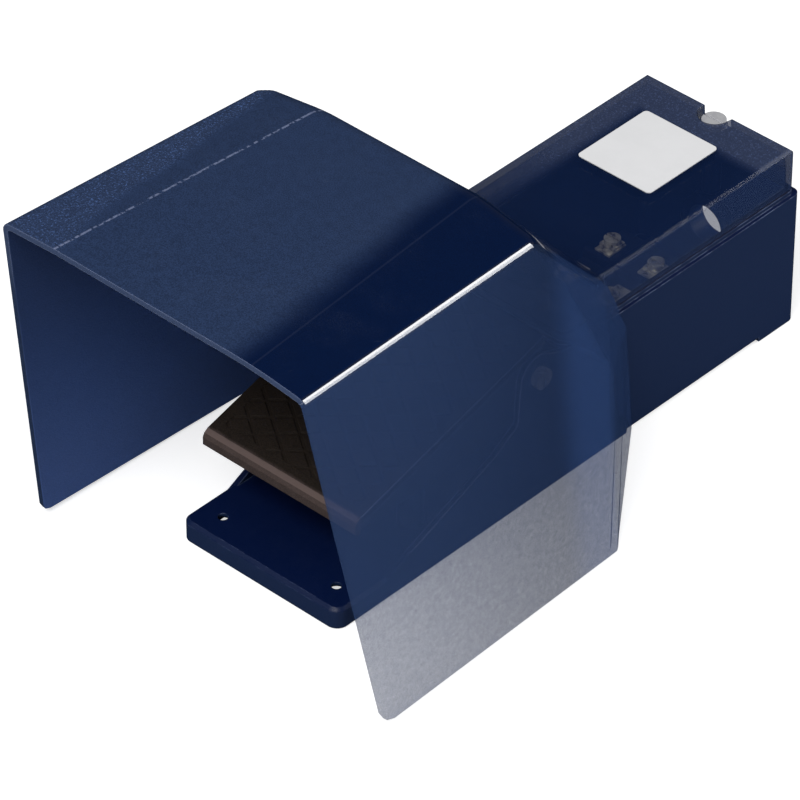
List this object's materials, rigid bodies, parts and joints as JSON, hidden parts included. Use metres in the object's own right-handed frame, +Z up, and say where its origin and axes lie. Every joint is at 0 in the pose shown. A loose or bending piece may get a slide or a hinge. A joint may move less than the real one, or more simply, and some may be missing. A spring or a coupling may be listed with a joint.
{
  "type": "foot switch",
  "caption": "Foot switch with a cast base, a sprung tilting pedal under a folded protective hood, and a lidded terminal housing with a contact block behind it.",
  "frame": {"origin": "bottom centre of the bounding box, on the plane the base rests on", "axes": "+X to the right of a person facing the hood's mouth, +Y from the mouth to the cable entry, +Z up"},
  "size_m": [0.1982, 0.3471, 0.1766],
  "materials": {
    "casting_paint": "textured navy paint on die-cast aluminium",
    "hood_opaque": "navy, fine leather-like grain",
    "hood_clear": "blue-tinted, see-through, smooth",
    "lid_smoke": "dark smoky blue, slightly see-through, fine grain at the edges",
    "label": "bare white plate",
    "pedal_frame": "black paint on pressed steel",
    "tread": "brown-black ribbed rubber",
    "steel": "bright zinc-plated steel",
    "brass": "bright brass",
    "seal_rubber": "black rubber",
    "block_plastic": "black moulding",
    "slide_plastic": "natural white slide plastic"
  },
  "bodies": {
    "housing": {"base_casting": "casting_paint", "lid": "lid_smoke", "lid_gasket": "seal_rubber", "lid_screw": "steel", "lid_screw_washer": "steel", "label_plate": "label", "hood_shell": "hood_opaque", "hood_window": "hood_clear", "hood_screws": "steel", "hood_washers": "steel", "axle": "steel", "axle_washers": "steel", "axle_screws": "steel", "return_spring": "steel", "rest_buffers": "seal_rubber", "stop_buffers": "seal_rubber", "rod_bush": "brass", "rod_seal": "seal_rubber", "block_base": "block_plastic", "block_body": "block_plastic", "block_screws": "steel", "contact_spring": "steel", "fixed_contacts": "brass", "terminal_clamps": "brass", "terminal_screws": "brass", "earth_clamp": "brass", "earth_screw": "brass"},
    "pedal": {"pedal_frame": "pedal_frame", "pedal_pad": "tread", "actuator_arm": "steel", "arm_rivets": "steel", "axle_bushes": "slide_plastic"},
    "push_rod": {"push_rod": "steel", "rod_clip": "steel", "contact_plunger": "slide_plastic", "contact_bridge": "brass"}
  },
  "joints": [
    {"name": "pedal_hinge", "type": "hinge", "parent": "housing", "child": "pedal", "pos_m": [0, 0.0045, 0.064], "axis": [1, 0, 0], "range_deg": [0, 9], "stiffness_Nm_per_rad": 3.8, "springref_deg": -12.03, "deforming": ["return_spring"]},
    {"name": "rod_slide", "type": "slide", "parent": "housing", "child": "push_rod", "axis": [0, 1, 0], "range_m": [0, 0.0054], "stiffness_N_per_m": 250, "springref_m": -0.004, "deforming": ["contact_spring"]}
  ],
  "couplings": [
    {"joint": "rod_slide", "follows": "pedal_hinge", "m_per_rad": 0.0343}
  ]
}
